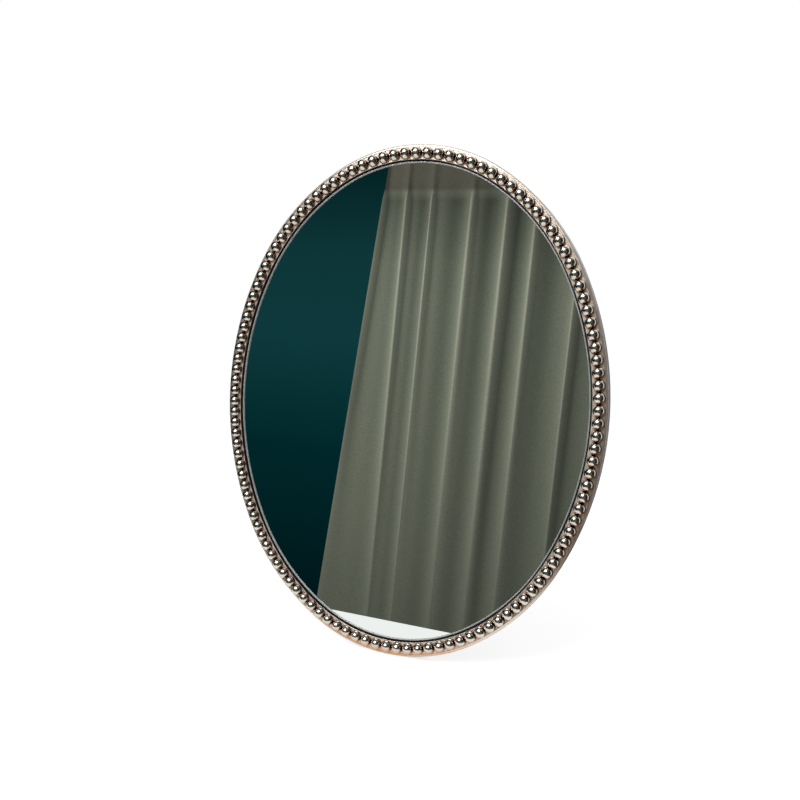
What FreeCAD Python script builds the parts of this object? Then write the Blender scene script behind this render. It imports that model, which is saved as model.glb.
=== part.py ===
import FreeCAD, Part
import math
import os
from FreeCAD import Vector

# Oval wall mirror with a beaded frame, in millimetres.
# The wall is the plane y = 0 and the mirror looks along -Y, with +Z up.
# The origin is on the wall, behind the middle of the oval.

# Oval outline
OVERALL_WIDTH = 552.0
OVERALL_HEIGHT = 702.0
SIDE_ARC_HALF_ANGLE = 26.6
END_ARC_START_ANGLE = 58.0
SHOULDER_FULLNESS = 0.986

# Bead row
BEAD_DIAMETER = 15.8
BEAD_LEAST_GAP = 0.05
BEAD_CENTRE_RISE = 0.8
CHANNEL_DEPTH = 0.6
CHANNEL_SIDE_CLEARANCE = 0.15

# Frame section, measured from the bead line
OUTER_MARGIN = 11.7
INNER_MARGIN = 8.75
SHOULDER_RADIUS = 3.0
NOSE_THICKNESS = 3.6
NOSE_EDGE_RADIUS = 0.4
REBATE_WIDTH = 3.7
BACK_EDGE_CHAMFER = 0.6

# Bright lip and black line next to the glass
GROOVE_WIDTH = 1.7
LIP_WIDTH = 2.0
SLIP_FLANGE_THICKNESS = 0.8
SLIP_EDGE_CLEARANCE = 0.3
GASKET_FLOOR = 0.6
GASKET_WALL = 0.4
GASKET_WALL_SETBACK = 0.1
GASKET_CORNER_RADIUS = 0.3
GASKET_SIDE_CLEARANCE = 0.05

# Glass and backing
GLASS_THICKNESS = 4.0
GLASS_EDGE_CLEARANCE = 0.8
GLASS_ARRIS = 0.4
CUSHION_THICKNESS = 1.0
BOARD_THICKNESS = 9.0
BOARD_EDGE_CLEARANCE = 0.4
BOARD_EDGE_CHAMFER = 0.6

# Turn buttons
BUTTON_COUNT = 6
BUTTON_THICKNESS = 1.2
BUTTON_WIDTH = 12.0
BUTTON_TIP_WIDTH = 9.0
BUTTON_REACH = 16.0
BUTTON_TAB_HEIGHT = 2.0
BUTTON_BEND_RADIUS = 1.0
BUTTON_SLIP_GAP = 0.1
PIVOT_CLEARANCE = 0.08

# Screws
SCREW_DIAMETER = 3.5
SCREW_HEAD_DIAMETER = 6.8
SCREW_HEAD_HEIGHT = 2.1
SCREW_POINT_LENGTH = 2.0
SCREW_SLOT_WIDTH = 0.9
SCREW_SLOT_LENGTH = 3.8
SCREW_SLOT_DEPTH = 1.1
PILOT_CLEARANCE = 0.05
PILOT_END_GAP = 0.6
BUTTON_SCREW_DEPTH = 9.0
HANGER_SCREW_DEPTH = 7.5

# Hangers
HANGER_SPACING = 300.0
HANGER_HEIGHT = 190.0
STRAP_WIDTH = 12.0
STRAP_LENGTH = 34.0
STRAP_SHEET = 1.0
STRAP_HOLE_CLEARANCE = 0.2
STRAP_FIRST_HOLE = 12.0
STRAP_END_MARGIN = 7.0
RING_WIRE = 3.0
RING_WIDTH = 20.0
RING_HEIGHT = 19.0
RING_CORNER_RADIUS = 3.0
RING_RUNNING_CLEARANCE = 0.1

# Wall bumpers
BUMPER_HEIGHT = 6.0
BUMPER_BASE_DIAMETER = 14.0
BUMPER_FACE_DIAMETER = 10.0
BUMPER_EDGE_RADIUS = 1.0
BUMPER_PLACES = (1.0 / 6.0, 2.0 / 6.0, 4.0 / 6.0, 5.0 / 6.0)
BUMPER_NAMES = ("upper_right", "upper_left", "lower_left", "lower_right")

OUT = "parts"
os.makedirs(OUT, exist_ok=True)

# Depths are measured from the frame's front face towards the wall.
SLIP_BACK = NOSE_THICKNESS + SLIP_FLANGE_THICKNESS
GLASS_BACK = SLIP_BACK + GLASS_THICKNESS
CUSHION_BACK = GLASS_BACK + CUSHION_THICKNESS
FRAME_DEPTH = CUSHION_BACK + BOARD_THICKNESS
FACE_Y = -(BUMPER_HEIGHT + FRAME_DEPTH)
BACK_Y = -BUMPER_HEIGHT
REBATE_WALL = REBATE_WIDTH - INNER_MARGIN
LAND_MIDDLE = 0.5 * (OUTER_MARGIN + REBATE_WALL)
BEAD_RADIUS = 0.5 * BEAD_DIAMETER
SCREW_RADIUS = 0.5 * SCREW_DIAMETER
TO_WALL = Vector(0, 1, 0)


def save(name, shape):
    shape.exportStep(os.path.join(OUT, name + ".step"))


def oval_arcs():
    """Eight tangent arcs of the bead line: centre x, centre z, radius, start and end angle."""
    half_width = 0.5 * OVERALL_WIDTH - OUTER_MARGIN
    half_height = 0.5 * OVERALL_HEIGHT - OUTER_MARGIN
    first = math.radians(SIDE_ARC_HALF_ANGLE)
    second = math.radians(END_ARC_START_ANGLE)
    shoulder = SHOULDER_FULLNESS * math.sqrt(half_width * half_height)
    # The side and end radii make all arcs tangent and meet both half sizes.
    m11 = 1.0 - math.cos(first)
    m12 = math.cos(second)
    m21 = math.sin(first)
    m22 = 1.0 - math.sin(second)
    right1 = half_width - shoulder * (math.cos(first) - math.cos(second))
    right2 = half_height + shoulder * (math.sin(first) - math.sin(second))
    det = m11 * m22 - m12 * m21
    side = (right1 * m22 - m12 * right2) / det
    end = (m11 * right2 - m21 * right1) / det
    side_x = half_width - side
    end_z = half_height - end
    shoulder_x = side_x + (side - shoulder) * math.cos(first)
    shoulder_z = (side - shoulder) * math.sin(first)
    half_turn = math.pi
    full_turn = 2.0 * math.pi
    return [
        (side_x, 0.0, side, -first, first),
        (shoulder_x, shoulder_z, shoulder, first, second),
        (0.0, end_z, end, second, half_turn - second),
        (-shoulder_x, shoulder_z, shoulder, half_turn - second, half_turn - first),
        (-side_x, 0.0, side, half_turn - first, half_turn + first),
        (-shoulder_x, -shoulder_z, shoulder, half_turn + first, half_turn + second),
        (0.0, -end_z, end, half_turn + second, full_turn - second),
        (shoulder_x, -shoulder_z, shoulder, full_turn - second, full_turn - first),
    ]


ARCS = oval_arcs()
PERIMETER = sum(arc[2] * (arc[4] - arc[3]) for arc in ARCS)


def on_arc(arc, angle, offset, y):
    """Point on an arc moved outwards by offset, at a given y."""
    radius = arc[2] + offset
    return Vector(arc[0] + radius * math.cos(angle), y, arc[1] + radius * math.sin(angle))


def station(share):
    """Arc and normal angle at a share of the bead line, from the middle of the right side."""
    length = (share * PERIMETER - ARCS[0][2] * ARCS[0][3]) % PERIMETER
    for arc in ARCS:
        span = arc[2] * (arc[4] - arc[3])
        if length <= span:
            return arc, arc[3] + length / arc[2]
        length -= span
    return ARCS[-1], ARCS[-1][4]


def section_face(section, arc, angle):
    """Closed section of (offset, depth) points; a four number entry is an arc through its
    first pair to its second."""
    def place(offset, depth):
        return on_arc(arc, angle, offset, FACE_Y + depth)
    edges = []
    start = place(*section[0])
    here = start
    for entry in section[1:]:
        end = place(*entry[-2:])
        if len(entry) == 4:
            edges.append(Part.Arc(here, place(*entry[:2]), end).toShape())
        else:
            edges.append(Part.makeLine(here, end))
        here = end
    if here.distanceToPoint(start) > 1e-6:
        edges.append(Part.makeLine(here, start))
    return Part.Face(Part.Wire(edges))


def hoop(section):
    """Solid ring with one section all round the oval."""
    lengths = []
    for arc in ARCS:
        face = section_face(section, arc, arc[3])
        turn = math.degrees(arc[4] - arc[3])
        lengths.append(face.revolve(Vector(arc[0], 0, arc[1]), Vector(0, -1, 0), turn))
    return lengths[0].fuse(lengths[1:]).removeSplitter()


def oval_plate(offset, front, back):
    """Oval plate between two depths."""
    y = FACE_Y + front
    edges = []
    for arc in ARCS:
        middle = 0.5 * (arc[3] + arc[4])
        points = [on_arc(arc, angle, offset, y) for angle in (arc[3], middle, arc[4])]
        edges.append(Part.Arc(*points).toShape())
    return Part.Face(Part.Wire(edges)).extrude(TO_WALL * (back - front))


def rim_edges(plate, y):
    """Edges of a plate that lie in one plane of constant y."""
    return [edge for edge in plate.Edges
            if abs(edge.BoundBox.YMin - y) < 1e-3 and abs(edge.BoundBox.YMax - y) < 1e-3]


def corner_arc(centre_offset, centre_depth, radius, angle, end_angle):
    """Middle and end of a rounded corner, as a section entry."""
    middle = math.radians(0.5 * (angle + end_angle))
    last = math.radians(end_angle)
    return (centre_offset + radius * math.cos(middle), centre_depth - radius * math.sin(middle),
            centre_offset + radius * math.cos(last), centre_depth - radius * math.sin(last))


def rod(radius, start, direction, length):
    return Part.makeCylinder(radius, length, start, direction)


def screw(x, z, seat_y, depth):
    """Pan head screw with its point towards the front and a crossed drive."""
    head = 0.5 * SCREW_HEAD_DIAMETER
    rim = 0.4 * SCREW_HEAD_HEIGHT
    top = seat_y + SCREW_HEAD_HEIGHT
    tip = seat_y - depth

    def at(radius, y):
        return Vector(x + radius, y, z)
    outline = [
        Part.makeLine(at(0, tip), at(SCREW_RADIUS, tip + SCREW_POINT_LENGTH)),
        Part.makeLine(at(SCREW_RADIUS, tip + SCREW_POINT_LENGTH), at(SCREW_RADIUS, seat_y)),
        Part.makeLine(at(SCREW_RADIUS, seat_y), at(head, seat_y)),
        Part.makeLine(at(head, seat_y), at(head, seat_y + rim)),
        Part.Arc(at(head, seat_y + rim), at(0.62 * head, top - 0.14 * SCREW_HEAD_HEIGHT),
                 at(0, top)).toShape(),
        Part.makeLine(at(0, top), at(0, tip)),
    ]
    body = Part.Face(Part.Wire(outline)).revolve(Vector(x, 0, z), TO_WALL, 360)
    floor = top - SCREW_SLOT_DEPTH
    half_long = 0.5 * SCREW_SLOT_LENGTH
    half_wide = 0.5 * SCREW_SLOT_WIDTH
    across = Part.makeBox(SCREW_SLOT_LENGTH, SCREW_HEAD_HEIGHT, SCREW_SLOT_WIDTH,
                          Vector(x - half_long, floor, z - half_wide))
    upright = Part.makeBox(SCREW_SLOT_WIDTH, SCREW_HEAD_HEIGHT, SCREW_SLOT_LENGTH,
                           Vector(x - half_wide, floor, z - half_long))
    return body.cut(across).cut(upright)


def pilot_hole(x, z, depth):
    length = depth + PILOT_END_GAP
    return rod(SCREW_RADIUS + PILOT_CLEARANCE, Vector(x, BACK_Y - length, z), TO_WALL, length + 1.0)


# Frame moulding: channelled face, rounded shoulder, side wall, rebate for the glass.
channel_half = BEAD_RADIUS + CHANNEL_SIDE_CLEARANCE
inner_edge = -INNER_MARGIN
frame_section = [
    (inner_edge + NOSE_EDGE_RADIUS, 0.0),
    (-channel_half, 0.0),
    (-channel_half + 0.5 * CHANNEL_DEPTH, CHANNEL_DEPTH),
    (channel_half - 0.5 * CHANNEL_DEPTH, CHANNEL_DEPTH),
    (channel_half, 0.0),
    (OUTER_MARGIN - SHOULDER_RADIUS, 0.0),
    corner_arc(OUTER_MARGIN - SHOULDER_RADIUS, SHOULDER_RADIUS, SHOULDER_RADIUS, 90, 0),
    (OUTER_MARGIN, FRAME_DEPTH - BACK_EDGE_CHAMFER),
    (OUTER_MARGIN - BACK_EDGE_CHAMFER, FRAME_DEPTH),
    (REBATE_WALL, FRAME_DEPTH),
    (REBATE_WALL, NOSE_THICKNESS),
    (inner_edge, NOSE_THICKNESS),
    (inner_edge, NOSE_EDGE_RADIUS),
    corner_arc(inner_edge + NOSE_EDGE_RADIUS, NOSE_EDGE_RADIUS, NOSE_EDGE_RADIUS, 180, 90),
]
frame = hoop(frame_section)

button_stations = []
for index in range(BUTTON_COUNT):
    button_stations.append(station((index + 0.5) / BUTTON_COUNT))
pivots = [on_arc(arc, angle, LAND_MIDDLE, BACK_Y) for arc, angle in button_stations]
frame = frame.cut([pilot_hole(p.x, p.z, BUTTON_SCREW_DEPTH) for p in pivots])
save("frame_moulding", frame)

# Bead row: balls with a flat seat, spaced by equal lengths along the oval from its right side.
bead_count = int(PERIMETER // (BEAD_DIAMETER + BEAD_LEAST_GAP))
bead_seat = BEAD_CENTRE_RISE + CHANNEL_DEPTH
seat_angle = -math.degrees(math.asin(bead_seat / BEAD_RADIUS))
beads = []
for index in range(bead_count):
    arc, angle = station(index / bead_count)
    centre = on_arc(arc, angle, 0.0, FACE_Y - BEAD_CENTRE_RISE)
    beads.append(Part.makeSphere(BEAD_RADIUS, centre, -TO_WALL, seat_angle, 90, 360))
save("bead_row", Part.makeCompound(beads))

# Bright slip: a flange under the frame's nose and a half round lip beside the glass.
lip_outer = inner_edge - GROOVE_WIDTH
lip_inner = lip_outer - LIP_WIDTH
lip_middle = 0.5 * (lip_outer + lip_inner)
slip_edge = REBATE_WALL - SLIP_EDGE_CLEARANCE
slip = hoop([
    (slip_edge, NOSE_THICKNESS),
    (lip_outer, NOSE_THICKNESS),
    (lip_middle, NOSE_THICKNESS - 0.5 * LIP_WIDTH, lip_inner, NOSE_THICKNESS),
    (lip_inner, SLIP_BACK),
    (slip_edge, SLIP_BACK),
])
save("sight_slip", slip)

# Black gasket that lines the groove: a wall up the frame's nose and a floor beside the lip.
gasket_outer = inner_edge - GASKET_SIDE_CLEARANCE
gasket_wall = gasket_outer - GASKET_WALL
gasket_inner = lip_outer + GASKET_SIDE_CLEARANCE
gasket_floor = NOSE_THICKNESS - GASKET_FLOOR
wall_top = NOSE_EDGE_RADIUS + GASKET_WALL_SETBACK
wall_round = 0.5 * GASKET_WALL
corner = GASKET_CORNER_RADIUS
gasket = hoop([
    (gasket_outer, NOSE_THICKNESS),
    (gasket_outer, wall_top + wall_round),
    (gasket_outer - wall_round, wall_top, gasket_wall, wall_top + wall_round),
    (gasket_wall, gasket_floor - corner),
    corner_arc(gasket_wall - corner, gasket_floor - corner, corner, 0, -90),
    (gasket_inner, gasket_floor),
    (gasket_inner, NOSE_THICKNESS),
])
save("sight_gasket", gasket)

# Glass, cushion sheet and backing board, stacked in the rebate.
glass_edge = REBATE_WALL - GLASS_EDGE_CLEARANCE
glass = oval_plate(glass_edge, SLIP_BACK, GLASS_BACK)
glass_rims = rim_edges(glass, FACE_Y + SLIP_BACK) + rim_edges(glass, FACE_Y + GLASS_BACK)
save("mirror_glass", glass.makeChamfer(GLASS_ARRIS, glass_rims))

save("cushion_sheet", oval_plate(glass_edge, GLASS_BACK, CUSHION_BACK))

board = oval_plate(REBATE_WALL - BOARD_EDGE_CLEARANCE, CUSHION_BACK, FRAME_DEPTH)
board = board.makeChamfer(BOARD_EDGE_CHAMFER, rim_edges(board, BACK_Y))
strap_holes = (STRAP_FIRST_HOLE, STRAP_LENGTH - STRAP_END_MARGIN)
hanger_screw_places = []
for side in (-1.0, 1.0):
    for drop in strap_holes:
        hanger_screw_places.append((side * 0.5 * HANGER_SPACING, HANGER_HEIGHT - drop))
board = board.cut([pilot_hole(x, z, HANGER_SCREW_DEPTH) for x, z in hanger_screw_places])
save("backing_board", board)


def turn_button(arc, angle, pivot):
    """Stamped button that turns on its screw, with its tip bent up for a fingertip."""
    base = BACK_Y + BUTTON_SLIP_GAP
    big = 0.5 * BUTTON_WIDTH
    small = 0.5 * BUTTON_TIP_WIDTH
    # Plan outline with the reach along +X, tangent to both round ends.
    lean = math.asin((big - small) / BUTTON_REACH)
    high_big = Vector(big * math.sin(lean), 0, big * math.cos(lean))
    high_small = Vector(BUTTON_REACH + small * math.sin(lean), 0, small * math.cos(lean))
    low_big = Vector(high_big.x, 0, -high_big.z)
    low_small = Vector(high_small.x, 0, -high_small.z)
    outline = Part.Wire([
        Part.Arc(high_big, Vector(-big, 0, 0), low_big).toShape(),
        Part.makeLine(low_big, low_small),
        Part.Arc(low_small, Vector(BUTTON_REACH + small, 0, 0), high_small).toShape(),
        Part.makeLine(high_small, high_big),
    ])
    plan = Part.Face(outline).extrude(TO_WALL * 12.0)
    plan.translate(Vector(0, base - 6.0, 0))
    # Side view: flat strip whose end bends up.
    inner = BUTTON_BEND_RADIUS
    outer = inner + BUTTON_THICKNESS
    bend_x = BUTTON_REACH + small - outer
    low = base
    high = base + BUTTON_THICKNESS
    top = high + BUTTON_TAB_HEIGHT
    turn = math.sqrt(0.5)

    def at(x, y):
        return Vector(x, y, -BUTTON_WIDTH)
    side = Part.Wire([
        Part.makeLine(at(-BUTTON_WIDTH, low), at(bend_x, low)),
        Part.Arc(at(bend_x, low), at(bend_x + outer * turn, low + outer * (1 - turn)),
                 at(bend_x + outer, low + outer)).toShape(),
        Part.makeLine(at(bend_x + outer, low + outer), at(bend_x + outer, top)),
        Part.makeLine(at(bend_x + outer, top), at(bend_x + inner, top)),
        Part.makeLine(at(bend_x + inner, top), at(bend_x + inner, high + inner)),
        Part.Arc(at(bend_x + inner, high + inner), at(bend_x + inner * turn, high + inner * (1 - turn)),
                 at(bend_x, high)).toShape(),
        Part.makeLine(at(bend_x, high), at(-BUTTON_WIDTH, high)),
        Part.makeLine(at(-BUTTON_WIDTH, high), at(-BUTTON_WIDTH, low)),
    ])
    strip = Part.Face(side).extrude(Vector(0, 0, 2.0 * BUTTON_WIDTH))
    hole = rod(SCREW_RADIUS + PIVOT_CLEARANCE, Vector(0, base - 1.0, 0), TO_WALL, BUTTON_THICKNESS + 2.0)
    button = strip.common(plan).cut(hole)
    # Point the reach at the middle of the oval.
    button.rotate(Vector(0, 0, 0), -TO_WALL, math.degrees(angle) + 180.0)
    button.translate(Vector(pivot.x, 0, pivot.z))
    return button


for index, (arc, angle) in enumerate(button_stations):
    save("turn_button_%d" % (index + 1), turn_button(arc, angle, pivots[index]))

button_seat = BACK_Y + BUTTON_THICKNESS + 2.0 * BUTTON_SLIP_GAP
button_lift = button_seat - BACK_Y
button_screws = [screw(p.x, p.z, button_seat, BUTTON_SCREW_DEPTH + button_lift) for p in pivots]
save("turn_button_screws", Part.makeCompound(button_screws))

# Hangers: a folded strap with an eye, and a ring whose straight bar turns in that eye.
eye_hole = 0.5 * RING_WIRE + RING_RUNNING_CLEARANCE
eye_radius = eye_hole + STRAP_SHEET
strap_thickness = 2.0 * STRAP_SHEET


def hanger_strap(x):
    half = 0.5 * STRAP_WIDTH
    axis = Vector(1, 0, 0)
    eye_start = Vector(x - half, BACK_Y + eye_radius, HANGER_HEIGHT)
    plate = Part.makeBox(STRAP_WIDTH, strap_thickness, STRAP_LENGTH - half,
                         Vector(x - half, BACK_Y, HANGER_HEIGHT - STRAP_LENGTH + half))
    end = rod(half, Vector(x, BACK_Y, HANGER_HEIGHT - STRAP_LENGTH + half), TO_WALL, strap_thickness)
    strap = plate.fuse([end, rod(eye_radius, eye_start, axis, STRAP_WIDTH)]).removeSplitter()
    crease = [edge for edge in strap.Edges
              if edge.Length > 0.9 * STRAP_WIDTH
              and abs(edge.BoundBox.YMin - BACK_Y - strap_thickness) < 1e-3
              and edge.BoundBox.YLength < 1e-3
              and edge.BoundBox.XLength > 0.9 * STRAP_WIDTH
              and edge.BoundBox.ZMin > HANGER_HEIGHT - 2.0 * eye_radius]
    if crease:
        strap = strap.makeFillet(1.5 * STRAP_SHEET, crease)
    strap = strap.cut(rod(eye_hole, eye_start - axis, axis, STRAP_WIDTH + 2.0))
    for drop in strap_holes:
        hole_start = Vector(x, BACK_Y - 1.0, HANGER_HEIGHT - drop)
        strap = strap.cut(rod(SCREW_RADIUS + STRAP_HOLE_CLEARANCE, hole_start, TO_WALL,
                              strap_thickness + 2.0))
    return strap


def hanger_ring(x):
    wire = 0.5 * RING_WIRE
    half = 0.5 * RING_WIDTH
    corner = RING_CORNER_RADIUS
    y = BACK_Y + eye_radius
    low = HANGER_HEIGHT
    bow_z = low + RING_HEIGHT - half
    across = Vector(1, 0, 0)
    up = Vector(0, 0, 1)
    pieces = [rod(wire, Vector(x - half + corner, y, low), across, RING_WIDTH - 2.0 * corner)]
    for side in (-1.0, 1.0):
        bend = Part.Face(Part.Wire(Part.makeCircle(wire, Vector(x + side * half, y, low + corner), up)))
        pieces.append(bend.revolve(Vector(x + side * (half - corner), y, low + corner),
                                   Vector(0, side, 0), 90))
        pieces.append(rod(wire, Vector(x + side * half, y, low + corner), up, bow_z - low - corner))
    bow = Part.Face(Part.Wire(Part.makeCircle(wire, Vector(x + half, y, bow_z), up)))
    pieces.append(bow.revolve(Vector(x, y, bow_z), -TO_WALL, 180))
    return pieces[0].fuse(pieces[1:]).removeSplitter()


for side, name in ((-1.0, "left"), (1.0, "right")):
    hanger_x = side * 0.5 * HANGER_SPACING
    save("hanger_strap_" + name, hanger_strap(hanger_x))
    save("hanger_ring_" + name, hanger_ring(hanger_x))

strap_seat = BACK_Y + strap_thickness
hanger_screws = [screw(x, z, strap_seat, HANGER_SCREW_DEPTH + strap_thickness)
                 for x, z in hanger_screw_places]
save("hanger_screws", Part.makeCompound(hanger_screws))


def bumper(x, z):
    """Tapered rubber pad with a flat face at the wall."""
    base = 0.5 * BUMPER_BASE_DIAMETER
    face = 0.5 * BUMPER_FACE_DIAMETER
    outline = Part.makePolygon([
        Vector(x, BACK_Y, z),
        Vector(x + base, BACK_Y, z),
        Vector(x + face, 0, z),
        Vector(x, 0, z),
        Vector(x, BACK_Y, z),
    ])
    pad = Part.Face(outline).revolve(Vector(x, 0, z), TO_WALL, 360)
    return pad.makeFillet(BUMPER_EDGE_RADIUS, rim_edges(pad, 0.0))


for share, name in zip(BUMPER_PLACES, BUMPER_NAMES):
    arc, angle = station(share)
    place = on_arc(arc, angle, LAND_MIDDLE, BACK_Y)
    save("bumper_" + name, bumper(place.x, place.z))
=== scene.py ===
import bpy
import math
from collections import namedtuple
from mathutils import Matrix, Vector


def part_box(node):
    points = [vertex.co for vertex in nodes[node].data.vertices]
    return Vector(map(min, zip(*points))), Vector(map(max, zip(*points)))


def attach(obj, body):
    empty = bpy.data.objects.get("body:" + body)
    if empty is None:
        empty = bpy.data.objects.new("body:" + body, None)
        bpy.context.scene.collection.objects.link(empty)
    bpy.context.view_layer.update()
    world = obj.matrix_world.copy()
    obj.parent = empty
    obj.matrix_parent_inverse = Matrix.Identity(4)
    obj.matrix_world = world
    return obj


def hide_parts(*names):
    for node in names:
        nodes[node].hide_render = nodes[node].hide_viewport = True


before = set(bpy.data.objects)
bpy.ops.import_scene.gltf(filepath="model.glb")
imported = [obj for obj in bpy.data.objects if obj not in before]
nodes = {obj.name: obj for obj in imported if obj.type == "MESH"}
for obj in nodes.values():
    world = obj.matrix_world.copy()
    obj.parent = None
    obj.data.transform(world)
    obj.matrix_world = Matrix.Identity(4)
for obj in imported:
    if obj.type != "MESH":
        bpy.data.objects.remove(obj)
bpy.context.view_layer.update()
scene = bpy.context.scene
scene.view_settings.view_transform = "Standard"

# Lengths are in metres: +X to the right, +Y into the wall, +Z up. Colours are linear.

# Frame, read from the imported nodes
FRAME_LOW, FRAME_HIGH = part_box("frame_moulding")
FACE_Y = FRAME_LOW.y
FRAME_DEPTH = FRAME_HIGH.y - FACE_Y
SEAT_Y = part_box("bead_row")[1].y

# Ball mesh
BALL_SEGMENTS = 40
BALL_RINGS = 18

# Oval of the bead line: eight tangent arcs
SIDE_ARC_HALF_ANGLE = math.radians(26.6)
END_ARC_START_ANGLE = math.radians(58.0)
SHOULDER_FULLNESS = 0.986
RING_STEPS = 720
CORNER_STEPS = 8
SHARP_ANGLE = math.radians(40.0)

# Lip and black line beside the glass, from the bead line and from the frame's face
INNER_MARGIN = 0.00875
GROOVE_WIDTH = 0.0017
LIP_WIDTH = 0.0020
NOSE_THICKNESS = 0.0036
SLIP_BACK = 0.0044
SLIP_EDGE = -0.00535
GASKET_WALL = 0.0004
GASKET_FLOOR = 0.0006
GASKET_CORNER = 0.0003
GASKET_TOP = 0.0005
GASKET_CLEARANCE = 0.00005

# Finish of the frame: where one tone gives way to the next, where painted shade lies beside the
# glass, and how far the edges are worn
STAIN_FULL = 0.0036
STAIN_END = 0.0076
SUNK_START = 0.0002
SUNK_FULL = 0.0005
SIDE_START = 0.001
SIDE_FULL = 0.002
TURN_START = 0.0005
TURN_FULL = 0.0014
REAR_EDGE = 0.007
REAR_EDGE_FADE = 0.0006
# Painted shade along the frame's edge beside the glass
SIGHT_SHADE_START = 0.0004
SIGHT_SHADE_FULL = 0.0001
EDGE_WEAR = 0.00045
OUTER_WEAR_WIDTH = 0.0011
FRAME_GRAIN = 0.00002
METAL_START = 0.002
METAL_FULL = 0.007
METALLIC_INSIDE = 0.55
METALLIC_OUTSIDE = 0.92

# Painted shade on the balls: dark brown low towards the seat, and where each ball turns to the
# next ball
SEAT_SHADE_START = -0.0042
SEAT_SHADE_FULL = -0.0006
SEAT_SHADE_RAGGED = 0.001
CREASE_SHADE_START = 0.72
CREASE_SHADE_FULL = 0.94
CREASE_SHADE_RAGGED = 0.1

# Noise: usual detail, and the range that most of its values fall in
NOISE_DETAIL = 3.0
NOISE_LOW = 0.3
NOISE_HIGH = 0.7

# Tones of the materials, from dark to light
FACE_TONES = (0.85, 0.73, 0.61), (0.93, 0.81, 0.69)
CHANNEL_TONES = (0.42, 0.20, 0.11), (0.92, 0.68, 0.47)
SIDE_TONES = (0.64, 0.63, 0.62), (0.74, 0.73, 0.72)
# Dark edge at the wall; painted shade along the frame's edge beside the glass
EDGE_TONES = (0.02, 0.019, 0.018), (0.05, 0.048, 0.045)
BALL_TONES = (0.73, 0.68, 0.62), (0.83, 0.78, 0.72)
# Painted shade in the balls' creases and low by their seats
CREASE_SHADE_TONES = (0.07, 0.028, 0.018), (0.22, 0.11, 0.065)
LIP_TONES = (0.46, 0.47, 0.47), (0.55, 0.56, 0.55)
GASKET_TONES = (0.004, 0.004, 0.005), (0.009, 0.009, 0.011)
BUMPER_TONES = (0.016, 0.016, 0.016), (0.034, 0.033, 0.032)
GLASS_TONES = (0.88, 0.915, 0.905), (0.90, 0.93, 0.92)
PAINT_TONES = (0.014, 0.014, 0.015), (0.026, 0.026, 0.027)
SCUFF_TONE = (0.08, 0.08, 0.08)
ZINC_TONES = (0.50, 0.51, 0.53), (0.64, 0.64, 0.62)
NICKEL_TONES = (0.58, 0.56, 0.53), (0.70, 0.68, 0.64)
FOAM_TONES = (0.62, 0.62, 0.60), (0.84, 0.84, 0.82)

RUBBER_SWING = 0.08
RUBBER_SPECULAR = 0.3
FIBRE_SCALE = (260.0, 260.0, 900.0)
SCUFF_SHARE = 0.35

# Sockets of Blender's Mix node when it mixes colours
MIX_SHARE, MIX_FIRST, MIX_SECOND, MIX_RESULT = 0, 6, 7, 2

# Floor, and the glowing card that the metal and the glass show in its place, with a painted
# shadow under the mirror
FLOOR_GAP = 0.0005
FLOOR_Z = FRAME_LOW.z - FLOOR_GAP
FLOOR_HALF_WIDTH = 2.4
FLOOR_TONE = (0.9, 0.9, 0.9, 1.0)
FLOOR_GLOW = 0.6
CARD_LEFT = -1.1
CARD_RIGHT = 0.34
CARD_FRONT = -0.140
CARD_BACK = 0.03
CARD_SHADE_FRONT = -0.10
CARD_SHADE_BACK = 0.10
CARD_SHADE_HALF_WIDTH = 0.08
CARD_SHADE_SIDE_END = 0.20
CARD_WHITE = (0.95, 0.95, 0.94)
# Painted light and shadow on the card: white, then warm, then dark under the mirror's lower edge
CARD_SHADOW_STOPS = [
    (0.05, CARD_WHITE), (0.20, (0.98, 0.86, 0.76)), (0.32, (0.86, 0.66, 0.52)),
    (0.42, (0.48, 0.30, 0.21)), (0.55, (0.20, 0.12, 0.09)), (0.65, (0.12, 0.08, 0.07)),
]

# Board and screens round the stage
BACKDROP_Y = -2.5
BACKDROP_LOW = -1.5
BACKDROP_HIGH = 2.6
BOARD_BEHIND = 0.15
BOARD_Y = BACKDROP_Y - BOARD_BEHIND
BOARD_LEFT = -3.2
BOARD_RIGHT = 2.6
# Painted light on the teal board: brightest at about the mirror's height, painted shade towards
# its top and bottom
BOARD_SHADE_LOW = -1.3
BOARD_SHADE_HIGH = 1.0
BOARD_LIGHT_STOPS = [
    (0.0, (0.0003, 0.009, 0.0115)), (0.35, (0.0003, 0.022, 0.025)),
    (0.6, (0.005, 0.044, 0.049)), (0.78, (0.005, 0.040, 0.044)), (1.0, (0.001, 0.014, 0.016)),
]
SCREEN_LEFT = -2.3
SCREEN_RIGHT = 2.5
SCREEN_MARGIN = 0.2
SCREEN_FRONT = BACKDROP_Y - SCREEN_MARGIN
SCREEN_BACK = 3.6
SCREEN_BACK_SPLIT = 0.7
SCREEN_BACK_TOP = 1.5
GAP_FRONT = 0.2
GAP_BACK = 0.9
TOP_SPLIT_Y = 0.1
TOP_SPLIT_X = -1.2

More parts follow.
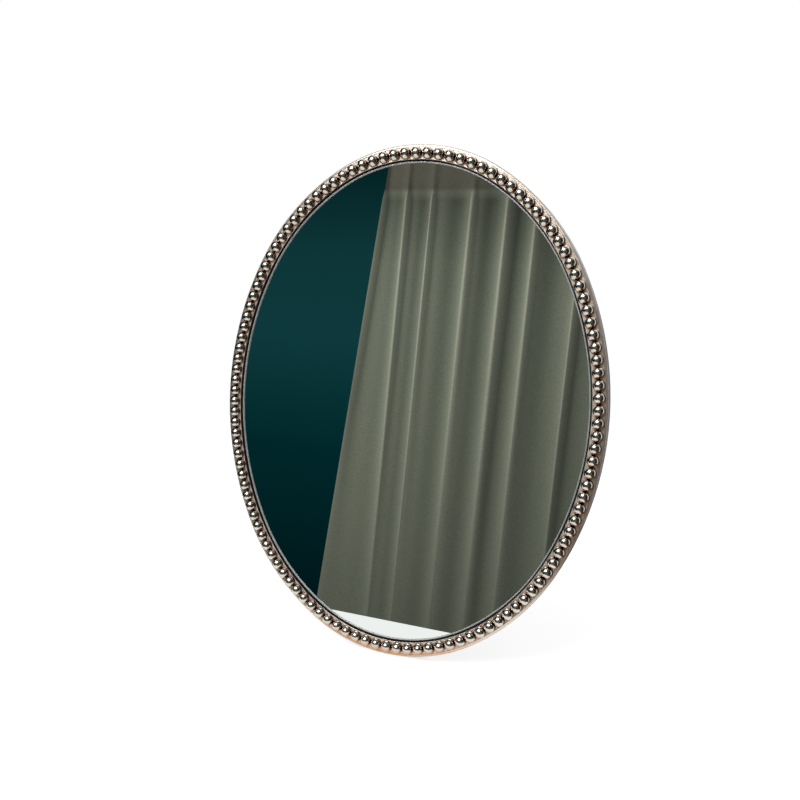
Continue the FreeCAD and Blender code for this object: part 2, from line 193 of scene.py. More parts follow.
# Cloth: it hangs from ridge to ridge in folds that soften towards the hem
CLOTH_LEFT = -1.19
CLOTH_TOP = 0.95
CLOTH_HEADER = 0.79
CLOTH_PARTS = 30
CLOTH_ROWS = 48
CLOTH_LEAN = 0.038
CLOTH_EDGE_LEAN = 0.082
CLOTH_SAG = 0.030
CLOTH_SAG_AT_HEM = 0.30
RIDGE_STEP = 0.158
RIDGE_SWING = 0.030
RIDGE_TURN = 2.3
RIDGE_EXTRA = 0.02
RIDGE_EXTRA_EVERY = 3
FOLD_RISE = 0.016
FOLD_RISE_AT_HEM = 0.15
FOLD_HALF_WIDTH = 0.017
FOLD_SPREAD_AT_HEM = 2.4
FOLD_SPREAD_AT_TOP = 0.8
RIPPLE_SHARE = 0.16
RIPPLE_HALF_WAVES = 3.0
RIPPLE_SHIFT = 5.0
HEADER_FOLD = 0.3
HEADER_SAG = 0.2
HEADER_FADE = 0.01
HEADER_TONE = (0.115, 0.108, 0.084)
CLOTH_LIGHT_WAY = (-0.42, 0.90, 0.1)
# Painted light on the cloth: crests lighter, hollows darker, by how far a point stands forward
CLOTH_CREST_LIGHT_STOPS = [
    (0.0, (0.080, 0.088, 0.066)), (0.45, (0.148, 0.158, 0.120)),
    (0.72, (0.192, 0.202, 0.156)), (1.0, (0.30, 0.30, 0.235)),
]

# Light
WORLD_LIGHT = 0.5
KEY_PLACE = (-0.48, -1.75, 1.57)
KEY_SIZE = 1.5
KEY_POWER = 34.0

# Camera, from the photograph's perspective
PHOTO_WIDTH = 800.0
FOCAL_PIXELS = 784.3
SENSOR = 36.0
CAMERA_PLACE = Vector((0.3813, -1.0243, 0.0884))
CAMERA_FORWARD = Vector((-0.3571, 0.9310, -0.0758))
CAMERA_UP = Vector((-0.0841, 0.0488, 0.9953))

Arc = namedtuple("Arc", "x z radius start end")


# Balls

def loose_parts(mesh):
    """Lists of vertices that hang together by edges."""
    parent = list(range(len(mesh.vertices)))

    def root(index):
        while parent[index] != index:
            parent[index] = parent[parent[index]]
            index = parent[index]
        return index

    for edge in mesh.edges:
        first, second = (root(v) for v in edge.vertices)
        parent[second] = first
    parts = {}
    for index, vertex in enumerate(mesh.vertices):
        parts.setdefault(root(index), []).append(vertex.co)
    return list(parts.values())


def ball_centres():
    """Centres of the balls and their radius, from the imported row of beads."""
    boxes = []
    for part in loose_parts(nodes["bead_row"].data):
        low = Vector([min(co[axis] for co in part) for axis in range(3)])
        high = Vector([max(co[axis] for co in part) for axis in range(3)])
        boxes.append((low, high))
    radius = 0.5 * max(high.z - low.z for low, high in boxes)
    deepest = max(high.y - low.y for low, high in boxes)
    centres = []
    for low, high in boxes:
        if high.y - low.y > 0.5 * deepest:  # a flat seat that is loose from its ball is no ball
            centres.append(Vector((0.5 * (low.x + high.x), low.y + radius,
                                   0.5 * (low.z + high.z))))
    centres.sort(key=lambda centre: math.atan2(centre.z, centre.x))
    return centres, radius


BALLS, BALL_RADIUS = ball_centres()
LINE_HALF_WIDTH = max(ball.x for ball in BALLS)
LINE_HALF_HEIGHT = max(ball.z for ball in BALLS)


def new_object(name, points, faces, smooth=False):
    """Mesh object in the scene."""
    mesh = bpy.data.meshes.new(name)
    mesh.from_pydata(points, [], faces)
    mesh.polygons.foreach_set("use_smooth", [smooth] * len(mesh.polygons))
    mesh.update()
    made = bpy.data.objects.new(name, mesh)
    scene.collection.objects.link(made)
    return made


def ball_points(centre):
    """Pole and rings of one ball, down to the rim of its flat seat."""
    last_angle = math.acos((centre.y - SEAT_Y) / BALL_RADIUS)
    points = [(centre.x, centre.y - BALL_RADIUS, centre.z)]
    for ring in range(1, BALL_RINGS + 1):
        angle = last_angle * ring / BALL_RINGS
        across = BALL_RADIUS * math.sin(angle)
        y = centre.y - BALL_RADIUS * math.cos(angle)
        for segment in range(BALL_SEGMENTS):
            turn = 2.0 * math.pi * segment / BALL_SEGMENTS
            points.append((centre.x + across * math.cos(turn), y,
                           centre.z + across * math.sin(turn)))
    return points


def ball_faces(pole):
    """Faces of one ball, whose points start with its pole."""
    faces = []
    for segment in range(BALL_SEGMENTS):
        following = (segment + 1) % BALL_SEGMENTS
        faces.append((pole, pole + 1 + segment, pole + 1 + following))
        for ring in range(BALL_RINGS - 1):
            near = pole + 1 + ring * BALL_SEGMENTS
            far = near + BALL_SEGMENTS
            faces.append((near + segment, far + segment, far + following, near + following))
    rim = pole + 1 + (BALL_RINGS - 1) * BALL_SEGMENTS
    faces.append(tuple(rim + segment for segment in reversed(range(BALL_SEGMENTS))))
    return faces


def mark_creases(mesh):
    """How far each point of a ball turns to the next ball in the row, kept for the painted shade
    in the creases.
    """
    per_ball = len(mesh.vertices) // len(BALLS)
    turned = []
    for index, centre in enumerate(BALLS):
        beside = [BALLS[(index + step) % len(BALLS)] for step in (-1, 1)]
        ways = [(ball - centre).normalized() for ball in beside]
        for vertex in mesh.vertices[index * per_ball:(index + 1) * per_ball]:
            outward = (vertex.co - centre) / BALL_RADIUS
            turned.append(max(outward.dot(way) for way in ways))
    mesh.attributes.new("crease", "FLOAT", "POINT").data.foreach_set("value", turned)


def ball_row():
    """Round balls with a flat seat, in place of the coarser CAD ones."""
    points = []
    faces = []
    for centre in BALLS:
        faces += ball_faces(len(points))
        points += ball_points(centre)
    row = new_object("bead_balls", points, faces, smooth=True)
    mark_creases(row.data)
    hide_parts("bead_row")
    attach(row, "mirror")
    return row


# Rings beside the glass

def oval_arcs():
    """Arcs of the bead line; two equations make them tangent and reach both half sizes."""
    first, second = SIDE_ARC_HALF_ANGLE, END_ARC_START_ANGLE
    shoulder = SHOULDER_FULLNESS * math.sqrt(LINE_HALF_WIDTH * LINE_HALF_HEIGHT)
    m11, m12 = 1.0 - math.cos(first), math.cos(second)
    m21, m22 = math.sin(first), 1.0 - math.sin(second)
    right1 = LINE_HALF_WIDTH - shoulder * (math.cos(first) - math.cos(second))
    right2 = LINE_HALF_HEIGHT + shoulder * (math.sin(first) - math.sin(second))
    det = m11 * m22 - m12 * m21
    side = (right1 * m22 - m12 * right2) / det
    end = (m11 * right2 - m21 * right1) / det
    side_x = LINE_HALF_WIDTH - side
    end_z = LINE_HALF_HEIGHT - end
    shoulder_x = side_x + (side - shoulder) * math.cos(first)
    shoulder_z = (side - shoulder) * math.sin(first)
    half = math.pi
    return [
        Arc(side_x, 0.0, side, -first, first),
        Arc(shoulder_x, shoulder_z, shoulder, first, second),
        Arc(0.0, end_z, end, second, half - second),
        Arc(-shoulder_x, shoulder_z, shoulder, half - second, half - first),
        Arc(-side_x, 0.0, side, half - first, half + first),
        Arc(-shoulder_x, -shoulder_z, shoulder, half + first, half + second),
        Arc(0.0, -end_z, end, half + second, 2.0 * half - second),
        Arc(shoulder_x, -shoulder_z, shoulder, 2.0 * half - second, 2.0 * half - first),
    ]


def round_corner(centre, radius, start, end):
    """Points of a rounded corner of a section; angles in degrees, depth downwards."""
    points = []
    for step in range(CORNER_STEPS + 1):
        angle = math.radians(start + (end - start) * step / CORNER_STEPS)
        points.append((centre[0] + radius * math.cos(angle),
                       centre[1] - radius * math.sin(angle)))
    return points


def ring_stations():
    """Arc and angle of each section along the oval."""
    stations = []
    for arc in oval_arcs():
        sweep = arc.end - arc.start
        steps = round(RING_STEPS * sweep / (2.0 * math.pi))
        stations += [(arc, arc.start + sweep * step / steps) for step in range(steps)]
    return stations


def hoop(name, section, node):
    """Smooth ring with one section of (offset, depth) points, in place of a CAD ring."""
    stations = ring_stations()
    points = []
    for arc, angle in stations:
        for offset, depth in section:
            radius = arc.radius + offset
            points.append((arc.x + radius * math.cos(angle), FACE_Y + depth,
                           arc.z + radius * math.sin(angle)))
    faces = []
    count = len(section)
    for row in range(len(stations)):
        following = (row + 1) % len(stations)
        for column in range(count):
            beside = (column + 1) % count
            faces.append((row * count + column, row * count + beside,
                          following * count + beside, following * count + column))
    ring = new_object(name, points, faces, smooth=True)
    ring.data.set_sharp_from_angle(angle=SHARP_ANGLE)
    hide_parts(node)
    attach(ring, "mirror")
    return ring


def lip_ring():
    """Bright slip with its half round lip."""
    outer = -INNER_MARGIN - GROOVE_WIDTH
    middle = (outer - 0.5 * LIP_WIDTH, NOSE_THICKNESS)
    section = [(SLIP_EDGE, NOSE_THICKNESS)]
    section += round_corner(middle, 0.5 * LIP_WIDTH, 0.0, 180.0)
    section += [(outer - LIP_WIDTH, SLIP_BACK), (SLIP_EDGE, SLIP_BACK)]
    return hoop("lip_ring", section, "sight_slip")


def gasket_ring():
    """Black line between the frame and the lip: a wall with a round top, and a foot."""
    outer = -INNER_MARGIN - GASKET_CLEARANCE
    wall = outer - GASKET_WALL
    half_wall = 0.5 * GASKET_WALL
    inner = -INNER_MARGIN - GROOVE_WIDTH + GASKET_CLEARANCE
    floor = NOSE_THICKNESS - GASKET_FLOOR
    section = [(outer, NOSE_THICKNESS)]
    section += round_corner((outer - half_wall, GASKET_TOP + half_wall), half_wall, 0.0, 180.0)
    section += round_corner((wall - GASKET_CORNER, floor - GASKET_CORNER), GASKET_CORNER,
                            0.0, -90.0)
    section += [(inner, floor), (inner, NOSE_THICKNESS)]
    return hoop("gasket_ring", section, "sight_gasket")


# Shader building blocks

def add(tree, kind, inputs=None, **settings):
    """A shader node with its settings, inputs and links."""
    made = tree.nodes.new("ShaderNode" + kind)
    for key, value in settings.items():
        setattr(made, key, value)
    for key, value in (inputs or {}).items():
        if isinstance(value, bpy.types.NodeSocket):
            tree.links.new(value, made.inputs[key])
        else:
            made.inputs[key].default_value = value
    return made


def calc(tree, operation, first, second=0.0):
    """One step of arithmetic."""
    return add(tree, "Math", {0: first, 1: second}, operation=operation).outputs[0]


def span(tree, value, low, high, to_low=0.0, to_high=1.0):
    """The value carried from one range to another, held at both ends."""
    return add(tree, "MapRange", {"Value": value, "From Min": low, "From Max": high,
                                  "To Min": to_low, "To Max": to_high}).outputs["Result"]


def noise(tree, place, scale, detail=NOISE_DETAIL):
    """Fine variation over the surface."""
    return add(tree, "TexNoise",
               {"Vector": place, "Scale": scale, "Detail": detail}).outputs["Fac"]


def vary(tree, value, to_low, to_high):
    """A number that follows a noise."""
    return span(tree, value, NOISE_LOW, NOISE_HIGH, to_low, to_high)


def ramp(tree, value, stops):
    """Colour by (position, colour) stops."""
    made = add(tree, "ValToRGB", {"Fac": value})
    marks = made.color_ramp.elements
    for mark, (position, color) in zip((marks[0], marks[1]), (stops[0], stops[-1])):
        mark.position = position
        mark.color = (*color, 1.0)
    for position, color in stops[1:-1]:
        marks.new(position).color = (*color, 1.0)
    return made.outputs["Color"]


def tones(tree, value, pair, low=NOISE_LOW, high=NOISE_HIGH):
    """Colour between a dark and a light tone."""
    dark, light = pair
    return ramp(tree, value, [(low, dark), (high, light)])


def blend(tree, share, first, second):
    """Two colours, each a tuple or a socket, mixed by a share."""
    made = add(tree, "Mix", data_type="RGBA")
    for socket, value in ((MIX_SHARE, share), (MIX_FIRST, first), (MIX_SECOND, second)):
        if isinstance(value, tuple):
            made.inputs[socket].default_value = (*value, 1.0)
        else:
            tree.links.new(value, made.inputs[socket])
    return made.outputs[MIX_RESULT]


def bump(tree, height, distance):
    """Normal of a surface with a fine height."""
    return add(tree, "Bump", {"Height": height, "Distance": distance}).outputs["Normal"]


def object_place(tree):
    """Place on the object, in metres."""
    return add(tree, "TexCoord").outputs["Object"]


def axes(tree, place):
    """X, Y and Z of a place."""
    return add(tree, "SeparateXYZ", {"Vector": place}).outputs


def socket_name(key):
    """Name of a shader's socket, from a keyword."""
    return key.replace("_", " ").title()


def new_material(name, **constants):
    """Material, node tree, principled shader and object coordinates."""
    made = bpy.data.materials.new(name)
    made.use_nodes = True
    tree = made.node_tree
    shader = tree.nodes["Principled BSDF"]
    for key, value in constants.items():
        shader.inputs[socket_name(key)].default_value = value
    return made, tree, shader, object_place(tree)


def feed(tree, shader, **sockets):
    """Links to the shader's sockets."""
    for key, value in sockets.items():
        tree.links.new(value, shader.inputs[socket_name(key)])


def depth_of(tree, place):
    """Distance behind the frame's face."""
    return calc(tree, "SUBTRACT", axes(tree, place)["Y"], FACE_Y)


def band_offset(tree, place):
    """Distance outwards from the bead line, which is taken as an ellipse."""
    def scaled(across, up):
        product = add(tree, "VectorMath", {0: place, 1: (across, 0.0, up)}, operation="MULTIPLY")
        return add(tree, "VectorMath", {0: product.outputs[0]},
                   operation="LENGTH").outputs["Value"]

    reach = scaled(1.0 / LINE_HALF_WIDTH, 1.0 / LINE_HALF_HEIGHT)
    slope = scaled(1.0 / LINE_HALF_WIDTH ** 2, 1.0 / LINE_HALF_HEIGHT ** 2)
    rise = calc(tree, "MULTIPLY", calc(tree, "SUBTRACT", reach, 1.0), reach)
    return calc(tree, "DIVIDE", rise, slope)


# Materials

def frame_color(tree, place, offset, tone, grain):
    """Champagne face, copper brown channel, silver side, a dark edge at the wall, and painted
    shade along the edge beside the glass.
    """
    depth = depth_of(tree, place)
    stain = tones(tree, noise(tree, place, scale=350.0), CHANNEL_TONES)
    dark = tones(tree, grain, EDGE_TONES, high=0.8)
    within = span(tree, calc(tree, "ABSOLUTE", offset), STAIN_END, STAIN_FULL)
    sunk = span(tree, depth, SUNK_START, SUNK_FULL)
    color = blend(tree, calc(tree, "MULTIPLY", within, sunk),
                  tones(tree, tone, FACE_TONES), stain)
    outside = span(tree, offset, BALL_RADIUS + SIDE_START, BALL_RADIUS + SIDE_FULL)
    turned = span(tree, depth, TURN_START, TURN_FULL)
    color = blend(tree, calc(tree, "MULTIPLY", outside, turned),
                  color, tones(tree, tone, SIDE_TONES))
    rear_start = FRAME_DEPTH - REAR_EDGE
    color = blend(tree, span(tree, depth, rear_start, rear_start + REAR_EDGE_FADE), color, dark)
    # Painted shade in the crease where the frame meets the black line beside the glass
    shade_beside_glass = span(tree, offset, SIGHT_SHADE_START - INNER_MARGIN,
                        SIGHT_SHADE_FULL - INNER_MARGIN)
    return blend(tree, shade_beside_glass, color, dark)


def frame_wear(tree, offset, grain):
    """Height of the frame's face: it falls a little to both edges and has a fine grain."""
    fall_in = span(tree, offset, -INNER_MARGIN, -BALL_RADIUS, -EDGE_WEAR, 0.0)
    fall_out = span(tree, offset, BALL_RADIUS, BALL_RADIUS + OUTER_WEAR_WIDTH, 0.0, -EDGE_WEAR)
    fall = calc(tree, "ADD", fall_in, fall_out)
    return calc(tree, "ADD", fall, calc(tree, "MULTIPLY", grain, FRAME_GRAIN))


def plated_frame():
    """Plated moulding, more metallic on its outer side."""
    made, tree, shader, place = new_material("champagne_plating")
    offset = band_offset(tree, place)
    tone = noise(tree, place, scale=60.0)
    grain = noise(tree, place, scale=1800.0, detail=4.0)
    feed(tree, shader, base_color=frame_color(tree, place, offset, tone, grain),
         metallic=span(tree, offset, METAL_START, METAL_FULL, METALLIC_INSIDE, METALLIC_OUTSIDE),
         roughness=vary(tree, tone, 0.36, 0.44),
         normal=bump(tree, frame_wear(tree, offset, grain), distance=1.0))
    return made


def polished_balls():
    """Polished nickel with a warm cast, and painted shade in dark brown low by the seat and in
    the creases.
    """
    made, tree, shader, place = new_material("satin_balls", metallic=1.0)
    tone = noise(tree, place, scale=90.0)
    grain = noise(tree, place, scale=2200.0, detail=4.0)
    # Painted shade, dark brown: low towards the seat and where the ball turns to the next one
    crease = tones(tree, noise(tree, place, scale=500.0), CREASE_SHADE_TONES, low=0.35)
    ragged_depth = calc(tree, "ADD", depth_of(tree, place),
                        calc(tree, "MULTIPLY", tone, SEAT_SHADE_RAGGED))
    low = span(tree, ragged_depth, SEAT_SHADE_START, SEAT_SHADE_FULL)
    turned = add(tree, "Attribute", attribute_name="crease").outputs["Fac"]
    ragged_turn = calc(tree, "ADD", turned, calc(tree, "MULTIPLY", tone, CREASE_SHADE_RAGGED))
    between = span(tree, ragged_turn, CREASE_SHADE_START, CREASE_SHADE_FULL)
    color = blend(tree, calc(tree, "MAXIMUM", low, between),
                  tones(tree, tone, BALL_TONES), crease)
    feed(tree, shader, base_color=color, roughness=vary(tree, tone, 0.14, 0.20),
         normal=bump(tree, grain, distance=0.00001))
    return made


def bright_lip():
    """Dull bright metal of the lip."""
    made, tree, shader, place = new_material("bright_lip", metallic=0.6)
    tone = noise(tree, place, scale=120.0)
    grain = noise(tree, place, scale=2500.0)
    feed(tree, shader, base_color=tones(tree, tone, LIP_TONES),
         roughness=vary(tree, tone, 0.50, 0.60), normal=bump(tree, grain, distance=0.00001))
    return made


def black_rubber(name, pair, roughness):
    """Rubber with a fine grain."""
    made, tree, shader, place = new_material(name)
    tone = noise(tree, place, scale=200.0)
    grain = noise(tree, place, scale=2600.0, detail=5.0)
    feed(tree, shader, base_color=tones(tree, tone, pair),
         roughness=vary(tree, grain, roughness - RUBBER_SWING, roughness + RUBBER_SWING),
         normal=bump(tree, grain, distance=0.00004))
    shader.inputs["Specular IOR Level"].default_value = RUBBER_SPECULAR
    return made


def silvered_glass():
    """Silvered pane with a faint haze that comes and goes."""
    made, tree, shader, place = new_material("silvered_glass", metallic=1.0)
    haze = noise(tree, place, scale=9.0, detail=5.0)
    fine = noise(tree, place, scale=700.0, detail=2.0)
    feed(tree, shader, base_color=tones(tree, haze, GLASS_TONES, low=0.35, high=0.65),
         roughness=span(tree, calc(tree, "MULTIPLY", haze, fine), low=0.2, high=0.45,
                        to_low=0.0, to_high=0.006))
    return made


def painted_board():
    """Black painted fibreboard with a fine fibre grain and pale scuffs."""
    made, tree, shader, place = new_material("painted_board")
    stretched = add(tree, "Mapping", {"Vector": place, "Scale": FIBRE_SCALE}).outputs["Vector"]
    fibre = noise(tree, stretched, scale=1.0, detail=5.0)
    scuff = span(tree, noise(tree, place, scale=35.0, detail=7.0), low=0.60, high=0.72)
    color = blend(tree, calc(tree, "MULTIPLY", scuff, SCUFF_SHARE),
                  tones(tree, fibre, PAINT_TONES), SCUFF_TONE)
    feed(tree, shader, base_color=color, roughness=vary(tree, fibre, 0.5, 0.68),
         normal=bump(tree, fibre, distance=0.00008))
    return made


def plated_steel(name, pair, smooth, rough):
    """Plated steel of the fittings."""
    made, tree, shader, place = new_material(name, metallic=1.0)
    tone = noise(tree, place, scale=150.0)
    grain = noise(tree, place, scale=3000.0, detail=4.0)
    feed(tree, shader, base_color=tones(tree, tone, pair),
         roughness=vary(tree, tone, smooth, rough), normal=bump(tree, grain, distance=0.000015))
    return made


def foam():
    """Pale foam with small cells."""
    made, tree, shader, place = new_material("foam", roughness=0.95)
    cells = add(tree, "TexVoronoi", {"Vector": place, "Scale": 1400.0}).outputs["Distance"]
    feed(tree, shader, base_color=tones(tree, cells, FOAM_TONES, low=0.0, high=0.6),
         normal=bump(tree, cells, distance=0.0002))
    return made


def dress():
    """A finish for every carried-over node, and the smooth balls, lip and gasket."""
    steel = plated_steel("zinc_plate", ZINC_TONES, smooth=0.26, rough=0.40)
    nickel = plated_steel("nickel_wire", NICKEL_TONES, smooth=0.16, rough=0.28)
    lip = bright_lip()
    gasket = black_rubber("gasket_rubber", GASKET_TONES, roughness=0.4)
    pad = black_rubber("bumper_rubber", BUMPER_TONES, roughness=0.75)
    finishes = {
        "frame_moulding": plated_frame(),
        "sight_slip": lip,
        "sight_gasket": gasket,
        "mirror_glass": silvered_glass(),
        "cushion_sheet": foam(),
        "backing_board": painted_board(),
    }
    for name, node in nodes.items():
        if name.startswith("bumper"):
            finish = pad
        elif name.startswith("hanger_ring"):
            finish = nickel
        else:
            finish = finishes.get(name, steel)
        node.data.materials.clear()
        node.data.materials.append(finish)
    ball_row().data.materials.append(polished_balls())
    lip_ring().data.materials.append(lip)
    gasket_ring().data.materials.append(gasket)


# Stage: backdrops, floor, light, camera

def level_corners(z, left, right, front, back):
    """Corners of a level rectangle."""
    return [(left, front, z), (right, front, z), (right, back, z), (left, back, z)]


def facing_corners(y, left, right, low=BACKDROP_LOW, high=BACKDROP_HIGH):
    """Corners of a rectangle that stands parallel to the wall."""
    return [(left, y, low), (right, y, low), (right, y, high), (left, y, high)]


def side_corners(x, front, back, low=BACKDROP_LOW, high=BACKDROP_HIGH):
    """Corners of a rectangle that stands at right angles to the wall."""
    return [(x, front, low), (x, back, low), (x, back, high), (x, front, high)]


def rectangle(name, corners):
    """Object with one face."""
    return new_object(name, corners, [(0, 1, 2, 3)])


def glow_material(name):
    """Material that only shows its own tone: itself, its tree and its emission."""
    made = bpy.data.materials.new(name)
    made.use_nodes = True
    tree = made.node_tree
    tree.nodes.clear()
    glow = add(tree, "Emission")
    add(tree, "OutputMaterial", {"Surface": glow.outputs[0]})
    return made, tree, glow


def show_in_gloss(made, material):
    """A backdrop that only reflections show."""
    made.data.materials.append(material)
    made.visible_camera = False
    made.visible_diffuse = False
    made.visible_transmission = False
    made.visible_volume_scatter = False
    made.visible_shadow = False


def panel(name, corners, color):
    """Backdrop of one tone."""
    made = rectangle(name, corners)
    material, _, glow = glow_material(name)
    glow.inputs["Color"].default_value = (*color, 1.0)
    show_in_gloss(made, material)


def teal_backdrop():
    """Dark blue green board behind the folded cloth; it glows, seen only in reflections, with
    painted light brightest at about the mirror's height and painted shade towards the top and the
    bottom.
    """
    made = rectangle("backdrop_board", facing_corners(BOARD_Y, BOARD_LEFT, BOARD_RIGHT))
    material, tree, glow = glow_material("backdrop_board")
    height = span(tree, axes(tree, object_place(tree))["Z"], BOARD_SHADE_LOW, BOARD_SHADE_HIGH)
    tree.links.new(ramp(tree, height, BOARD_LIGHT_STOPS), glow.inputs["Color"])
    show_in_gloss(made, material)


def part_way(low, high, share):
    """Number at a share of the way from low to high."""
    return low + (high - low) * share


def cloth_ridges():
    """Places of the folds along the cloth, at uneven steps."""
    ridges = [0.0]
    while ridges[-1] < BOARD_RIGHT - CLOTH_LEFT:
        count = len(ridges)
        step = RIDGE_STEP + RIDGE_SWING * math.sin(RIDGE_TURN * count)
        if count % RIDGE_EXTRA_EVERY == 0:
            step += RIDGE_EXTRA
        ridges.append(ridges[-1] + step)
    return ridges


def cloth_point(along, ridge, step, z):
    """Point of the cloth: it hangs from ridge to ridge and sags back between them."""
    edge_pull = max(0.0, 1.0 - along / RIDGE_STEP)
    lean = CLOTH_LEAN + CLOTH_EDGE_LEAN * edge_pull
    share = (along - ridge) / step
    nearest = min(share, 1.0 - share) * step
    height = (z - BACKDROP_LOW) / (CLOTH_TOP - BACKDROP_LOW)
    half_width = FOLD_HALF_WIDTH * part_way(FOLD_SPREAD_AT_HEM, FOLD_SPREAD_AT_TOP, height)
    fold = FOLD_RISE * part_way(FOLD_RISE_AT_HEM, 1.0, height)
    fold *= math.exp(-(nearest / half_width) ** 2)
    turn = RIPPLE_HALF_WAVES * math.pi * share + RIPPLE_SHIFT * ridge
    ripple = RIPPLE_SHARE * math.sin(turn)
    sag = CLOTH_SAG * part_way(CLOTH_SAG_AT_HEM, 1.0, height)
    sag *= math.sin(math.pi * share) + ripple
    if z > CLOTH_HEADER:
        fold *= HEADER_FOLD
        sag *= HEADER_SAG
    return (CLOTH_LEFT + along + lean * z, BACKDROP_Y + fold - sag, z)


def cloth_sheet():
    """Mesh of the cloth."""
    ridges = cloth_ridges()
    points = []
    for row in range(CLOTH_ROWS + 1):
        z = part_way(BACKDROP_LOW, CLOTH_TOP, row / CLOTH_ROWS)
        for ridge, following in zip(ridges, ridges[1:]):
            for part in range(CLOTH_PARTS):
                along = part_way(ridge, following, part / CLOTH_PARTS)
                points.append(cloth_point(along, ridge, following - ridge, z))
    width = CLOTH_PARTS * (len(ridges) - 1)
    faces = []
    for row in range(CLOTH_ROWS):
        for column in range(width - 1):
            first = row * width + column
            faces.append((first, first + 1, first + width + 1, first + width))
    return new_object("backdrop_cloth", points, faces, smooth=True)


def cloth_strength(tree, place, spot):
    """Painted light on the glowing cloth: by its turn to the light, painted shade by its place,
    and its weave.
    """
    normal = add(tree, "NewGeometry").outputs["Normal"]
    facing = add(tree, "VectorMath", {0: normal, 1: CLOTH_LIGHT_WAY},
                 operation="DOT_PRODUCT").outputs["Value"]
    lit = span(tree, calc(tree, "ABSOLUTE", facing), low=0.55, high=1.0,
               to_low=0.50, to_high=1.22)
    weave = span(tree, noise(tree, place, scale=160.0, detail=6.0), low=0.25, high=0.75,
                 to_low=0.84, to_high=1.16)
    # Painted shade towards the hem and just under the header, painted light towards the left
    fall = span(tree, spot["Z"], low=-1.3, high=0.25, to_low=0.44, to_high=1.10)
    top = span(tree, spot["Z"], low=0.45, high=CLOTH_HEADER, to_low=1.0, to_high=0.62)
    away = span(tree, spot["X"], low=-1.2, high=0.1, to_low=1.32, to_high=0.70)
    strength = lit
    for part in (weave, fall, top, away):
        strength = calc(tree, "MULTIPLY", strength, part)
    return strength


def cloth_backdrop():
    """Sage cloth that hangs in soft upright folds; it glows, seen only in reflections, with
    painted light and shade, lighter on the crests.
    """
    made = cloth_sheet()
    material, tree, glow = glow_material("backdrop_cloth")
    place = object_place(tree)
    spot = axes(tree, place)
    lit_crest = span(tree, spot["Y"], BACKDROP_Y - CLOTH_SAG, BACKDROP_Y + FOLD_RISE)
    header = span(tree, spot["Z"], CLOTH_HEADER - HEADER_FADE, CLOTH_HEADER + HEADER_FADE)
    color = blend(tree, header, ramp(tree, lit_crest, CLOTH_CREST_LIGHT_STOPS), HEADER_TONE)
    feed(tree, glow, color=color, strength=cloth_strength(tree, place, spot))
    show_in_gloss(made, material)


def dark_screens():
    """Glowing screens round the stage, seen only in reflections: painted dark, grey and red-brown
    reflections in the metal and the glass.
    """
    panel("screen_left", side_corners(SCREEN_LEFT, SCREEN_FRONT, SCREEN_BACK),
          color=(0.006, 0.014, 0.015))
    panel("screen_right", side_corners(SCREEN_RIGHT, SCREEN_FRONT, GAP_FRONT),
          color=(0.020, 0.021, 0.016))
    panel("screen_right_back", side_corners(SCREEN_RIGHT, GAP_BACK, SCREEN_BACK),
          color=(0.075, 0.024, 0.014))
    panel("screen_back",
          facing_corners(SCREEN_BACK, SCREEN_LEFT, SCREEN_RIGHT, high=SCREEN_BACK_SPLIT),
          color=(0.27, 0.27, 0.28))
    panel("screen_back_high",
          facing_corners(SCREEN_BACK, SCREEN_LEFT, SCREEN_RIGHT,
                         low=SCREEN_BACK_SPLIT, high=SCREEN_BACK_TOP),
          color=(0.56, 0.56, 0.56))
    panel("screen_top",
          level_corners(BACKDROP_HIGH, SCREEN_LEFT, SCREEN_RIGHT, SCREEN_FRONT, TOP_SPLIT_Y),
          color=(0.20, 0.19, 0.18))
    panel("screen_low",
          level_corners(BACKDROP_LOW, SCREEN_LEFT, SCREEN_RIGHT, SCREEN_FRONT, SCREEN_BACK),
          color=(0.085, 0.034, 0.021))
    panel("screen_top_left",
          level_corners(BACKDROP_HIGH, SCREEN_LEFT, TOP_SPLIT_X, TOP_SPLIT_Y, SCREEN_BACK),
          color=(0.020, 0.018, 0.016))


def reflectors():
    """Glowing pale panels, seen only in reflections, which paint the highlights and pale
    reflections on the balls.
    """
    panel("low_panel", level_corners(z=-1.3, left=-1.4, right=0.7, front=-1.9, back=-0.2),
          color=(1.0, 0.92, 0.83))
    panel("soft_panel", facing_corners(y=-1.5, left=-2.0, right=-1.2, low=0.75, high=1.6),
          color=(0.72, 0.72, 0.71))
    panel("upper_panel", facing_corners(y=-2.4, left=-1.6, right=0.9, low=1.06, high=2.2),
          color=(1.0, 0.98, 0.94))
    panel("side_panel", side_corners(x=-2.2, front=-2.3, back=-1.4, low=0.45, high=1.7),
          color=(1.0, 1.0, 0.99))


def table_card():
    """Glowing white card in front of the mirror, seen only in reflections: painted warm light,
    then a painted dark shadow under its lower edge.
    """
    made = rectangle("white_card",
                     level_corners(FLOOR_Z, CARD_LEFT, CARD_RIGHT, CARD_FRONT, CARD_BACK))
    material, tree, glow = glow_material("white_card")
    spot = axes(tree, object_place(tree))
    shade = ramp(tree, span(tree, spot["Y"], CARD_SHADE_FRONT, CARD_SHADE_BACK), CARD_SHADOW_STOPS)
    aside = span(tree, calc(tree, "ABSOLUTE", spot["X"]),
                 CARD_SHADE_HALF_WIDTH, CARD_SHADE_SIDE_END)
    tree.links.new(blend(tree, aside, shade, CARD_WHITE), glow.inputs["Color"])
    show_in_gloss(made, material)


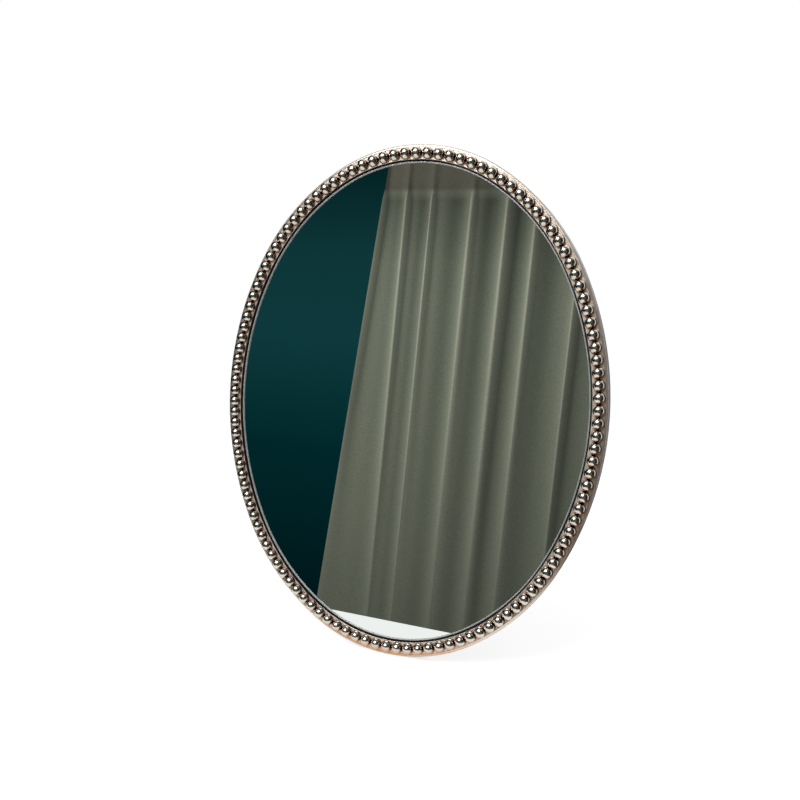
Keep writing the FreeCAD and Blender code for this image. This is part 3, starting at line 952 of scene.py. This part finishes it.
def pale_floor():
    """White floor that keeps the shadow; the card stands in for it in reflections."""
    made = rectangle("floor", level_corners(FLOOR_Z, -FLOOR_HALF_WIDTH, FLOOR_HALF_WIDTH,
                                            -FLOOR_HALF_WIDTH, FLOOR_HALF_WIDTH))
    made.visible_glossy = False
    material, tree, shader, _ = new_material(
        "floor", roughness=0.9, base_color=FLOOR_TONE, emission_color=(1.0, 1.0, 1.0, 1.0))
    seen = add(tree, "LightPath").outputs["Is Camera Ray"]
    feed(tree, shader, emission_strength=calc(tree, "MULTIPLY", seen, FLOOR_GLOW))
    made.data.materials.append(material)


def studio_world():
    """White to the camera and in the metal, softer as light."""
    world = bpy.data.worlds.new("studio")
    world.use_nodes = True
    scene.world = world
    tree = world.node_tree
    rays = add(tree, "LightPath").outputs
    shown = calc(tree, "MAXIMUM", rays["Is Camera Ray"], rays["Is Glossy Ray"])
    shown = calc(tree, "MAXIMUM", shown, rays["Is Transmission Ray"])
    back = tree.nodes["Background"]
    back.inputs["Color"].default_value = (1.0, 1.0, 1.0, 1.0)
    feed(tree, back, strength=span(tree, shown, 0.0, 1.0, WORLD_LIGHT, 1.0))


def lamp(name, place, size, power):
    """Round soft lamp that looks at the origin."""
    data = bpy.data.lights.new(name, "AREA")
    data.shape = "DISK"
    data.size = size
    data.energy = power
    made = bpy.data.objects.new(name, data)
    made.location = place
    made.rotation_euler = (-Vector(place)).to_track_quat("-Z", "Y").to_euler()
    scene.collection.objects.link(made)


def photo_camera():
    """Camera at the photograph's viewpoint."""
    data = bpy.data.cameras.new("camera")
    data.sensor_width = SENSOR
    data.lens = SENSOR * FOCAL_PIXELS / PHOTO_WIDTH
    made = bpy.data.objects.new("camera", data)
    scene.collection.objects.link(made)
    scene.camera = made
    forward = CAMERA_FORWARD.normalized()
    side = forward.cross(CAMERA_UP).normalized()
    up = side.cross(forward)
    turn = Matrix((side, up, -forward)).transposed().to_4x4()
    made.matrix_world = Matrix.Translation(CAMERA_PLACE) @ turn


dress()
teal_backdrop()
cloth_backdrop()
dark_screens()
reflectors()
table_card()
pale_floor()
studio_world()
lamp("key", KEY_PLACE, KEY_SIZE, KEY_POWER)
photo_camera()
